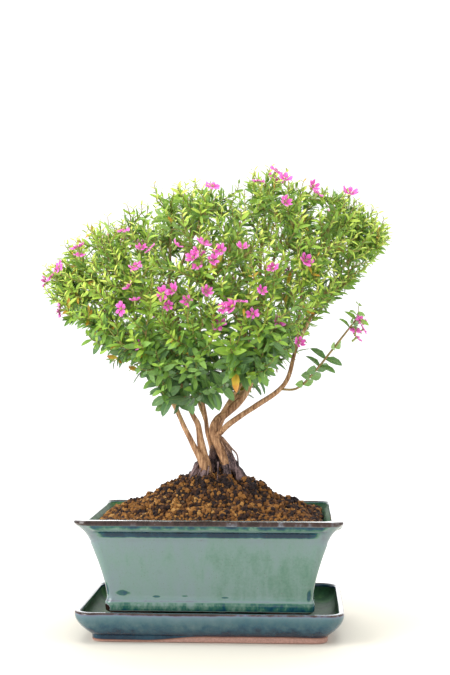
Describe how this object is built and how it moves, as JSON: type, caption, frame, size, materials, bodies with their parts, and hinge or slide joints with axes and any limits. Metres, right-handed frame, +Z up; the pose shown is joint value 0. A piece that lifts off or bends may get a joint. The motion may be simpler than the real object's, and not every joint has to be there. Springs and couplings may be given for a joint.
{
  "type": "potted flowering shrub",
  "caption": "Small pink-flowered shrub trained as a fan-shaped tree, growing from a soil mound in a flared glazed rectangular pot that rests on its drip tray.",
  "frame": {"origin": "centre of the drip tray's flat underside", "axes": "+Z up, -Y towards the front, +X towards the side that the long right branch leans to"},
  "size_m": [0.2775, 0.1719, 0.3574],
  "materials": {
    "tray_glaze": "glossy blue-green glaze on a bare clay foot",
    "pot_glaze": "glossy grey-green glaze that breaks brown on the edges",
    "net_plastic": "matte black plastic net",
    "soil": "loose fired-clay grains with dark humus",
    "root_bark": "dark damp bark",
    "stem_bark": "warm brown bark",
    "shoot_bark": "young yellow-green bark",
    "leaf": "small glossy leaves",
    "petal": "thin crinkled magenta petals"
  },
  "bodies": {
    "root": {"drip_tray": "tray_glaze", "pot": "pot_glaze", "left_drain_net": "net_plastic", "right_drain_net": "net_plastic", "soil_bed": "soil", "root_crown": "root_bark", "left_outer_stem": "stem_bark", "left_inner_stem": "stem_bark", "middle_stem": "stem_bark", "main_stem": "stem_bark", "back_stem": "stem_bark", "long_right_branch": "stem_bark", "left_front_branch": "stem_bark", "left_low_branch": "stem_bark", "left_top_branch": "stem_bark", "left_back_branch": "stem_bark", "front_branch": "stem_bark", "front_low_branch": "stem_bark", "top_front_branch": "stem_bark", "top_right_branch": "stem_bark", "right_front_branch": "stem_bark", "right_back_branch": "stem_bark", "back_low_branch": "stem_bark", "side_shoot": "shoot_bark", "top_leaves_1": "leaf", "top_leaves_2": "leaf", "top_leaves_3": "leaf", "top_leaves_4": "leaf", "top_leaves_5": "leaf", "middle_leaves_1": "leaf", "middle_leaves_2": "leaf", "middle_leaves_3": "leaf", "middle_leaves_4": "leaf", "middle_leaves_5": "leaf", "middle_leaves_6": "leaf", "middle_leaves_7": "leaf", "middle_leaves_8": "leaf", "low_leaves_1": "leaf", "low_leaves_2": "leaf", "low_leaves_3": "leaf", "low_leaves_4": "leaf", "flower_01": "petal", "flower_02": "petal", "flower_03": "petal", "flower_04": "petal", "flower_05": "petal", "flower_06": "petal", "flower_07": "petal", "flower_08": "petal", "flower_09": "petal", "flower_10": "petal", "flower_11": "petal", "flower_12": "petal", "flower_13": "petal", "flower_14": "petal", "flower_15": "petal", "flower_16": "petal", "flower_17": "petal", "flower_18": "petal"}
  },
  "joints": []
}
